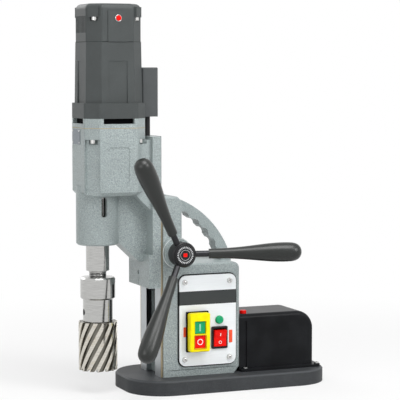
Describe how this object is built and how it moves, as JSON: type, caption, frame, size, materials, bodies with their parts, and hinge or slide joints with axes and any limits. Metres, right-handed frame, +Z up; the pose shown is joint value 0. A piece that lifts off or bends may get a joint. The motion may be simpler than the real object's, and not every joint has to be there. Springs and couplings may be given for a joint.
{
  "type": "portable drill press",
  "caption": "Portable drill press on a vacuum base, with annular cutter, rack feed, three-arm feed handle and control panel.",
  "frame": {"origin": "centre of the base plate's under face, which rests on the work", "axes": "+Z up along the spindle and the feed; -X towards the spindle and cutter; -Y towards the operator, the panel and the feed handle"},
  "size_m": [0.3359, 0.1872, 0.497],
  "materials": {
    "grey_paint": "hammered grey enamel",
    "base_paint": "fine textured dark grey",
    "motor_plastic": "satin dark grey",
    "black_plastic": "satin black",
    "grip_plastic": "satin black",
    "bright_steel": "turned",
    "cutter_steel": "ground",
    "black_steel": "blackened",
    "machined_alu": "milled",
    "brass": "plain",
    "rubber": "matt",
    "panel_white": "white with a dark band",
    "yellow_plastic": "gloss",
    "green_plastic": "gloss",
    "red_plastic": "gloss",
    "board_green": "circuit board",
    "gasket_tan": "paper gasket",
    "iron": "laminations",
    "carbon": "carbon"
  },
  "bodies": {
    "stand": {"base_plate": "base_paint", "seal_ring": "rubber", "frame_casting": "grey_paint", "guide_rails": "machined_alu", "wear_strips": "brass", "feed_bushes": "brass", "panel_gasket": "rubber", "panel_plate": "panel_white", "switch_body": "black_plastic", "switch_surround": "yellow_plastic", "vacuum_lamp": "green_plastic", "rocker_housing": "black_plastic", "control_board": "board_green", "cable_gland": "black_plastic", "pump_cover": "black_plastic", "stand_screws": "bright_steel", "pump_bracket": "bright_steel", "pump_motor": "black_steel", "pump_head": "machined_alu", "vacuum_pipe": "brass", "release_valve": "black_plastic"},
    "start_button": {"start_button": "green_plastic"},
    "stop_button": {"stop_button": "red_plastic"},
    "rocker": {"rocker": "red_plastic"},
    "release_button": {"release_button": "red_plastic"},
    "feed": {"feed_shaft": "bright_steel", "feed_pinion": "bright_steel", "feed_hub": "black_plastic", "hub_cap": "black_plastic", "arm_rods": "black_steel", "arm_grips": "grip_plastic"},
    "head": {"head_casting": "grey_paint", "feed_rack": "bright_steel", "nose_seal": "rubber", "bearings": "bright_steel", "gearbox_gasket": "gasket_tan", "gear_cover": "grey_paint", "head_screws": "bright_steel", "rating_plate": "bright_steel", "motor_housing": "motor_plastic", "motor_cap": "motor_plastic", "overload_lamp": "red_plastic", "cable_guard": "motor_plastic", "guard_tube": "black_steel", "stator": "iron", "bearing_bridge": "black_plastic", "brushes": "carbon"},
    "spindle": {"spindle": "bright_steel", "spindle_gear": "bright_steel", "arbor": "bright_steel", "arbor_collar": "bright_steel", "set_screws": "black_steel", "cutter": "cutter_steel", "pilot_spring": "bright_steel"},
    "layshaft": {"layshaft": "bright_steel", "layshaft_gear": "bright_steel"},
    "armature": {"armature_shaft": "bright_steel", "armature_core": "iron", "cooling_fan": "black_plastic"},
    "pilot": {"pilot_pin": "bright_steel"}
  },
  "joints": [
    {"name": "head_slide", "type": "slide", "parent": "stand", "child": "head", "axis": [0, 0, 1], "range_m": [-0.1, 0.035]},
    {"name": "feed_turn", "type": "hinge", "parent": "stand", "child": "feed", "pos_m": [-0.079, 0, 0.1805], "axis": [0, 1, 0], "range_deg": [-640, 225]},
    {"name": "spindle_spin", "type": "hinge", "parent": "head", "child": "spindle", "pos_m": [-0.1705, 0, 0.2], "axis": [0, 0, 1], "continuous": true},
    {"name": "layshaft_spin", "type": "hinge", "parent": "head", "child": "layshaft", "pos_m": [-0.15485, 0.0195, 0.29], "axis": [0, 0, 1], "continuous": true},
    {"name": "armature_spin", "type": "hinge", "parent": "head", "child": "armature", "pos_m": [-0.155, 0, 0.4], "axis": [0, 0, 1], "continuous": true},
    {"name": "pilot_retract", "type": "slide", "parent": "spindle", "child": "pilot", "axis": [0, 0, 1], "range_m": [0, 0.014], "stiffness_N_per_m": 400, "springref_m": -0.004, "deforming": ["pilot_spring"]},
    {"name": "start_press", "type": "slide", "parent": "stand", "child": "start_button", "axis": [0, 1, 0], "range_m": [0, 0.003], "stiffness_N_per_m": 600, "springref_m": -0.003},
    {"name": "stop_press", "type": "slide", "parent": "stand", "child": "stop_button", "axis": [0, 1, 0], "range_m": [0, 0.003], "stiffness_N_per_m": 600, "springref_m": -0.003},
    {"name": "rocker_tilt", "type": "hinge", "parent": "stand", "child": "rocker", "pos_m": [-0.0193, -0.04, 0.0676], "axis": [-1, 0, 0], "range_deg": [0, 14]},
    {"name": "release_press", "type": "slide", "parent": "stand", "child": "release_button", "axis": [0, 0, -1], "range_m": [0, 0.003], "stiffness_N_per_m": 600, "springref_m": -0.003}
  ],
  "couplings": [
    {"joint": "feed_turn", "follows": "head_slide", "rad_per_m": 111.11},
    {"joint": "layshaft_spin", "follows": "spindle_spin", "ratio": -3.1667},
    {"joint": "armature_spin", "follows": "spindle_spin", "ratio": 10.556}
  ]
}
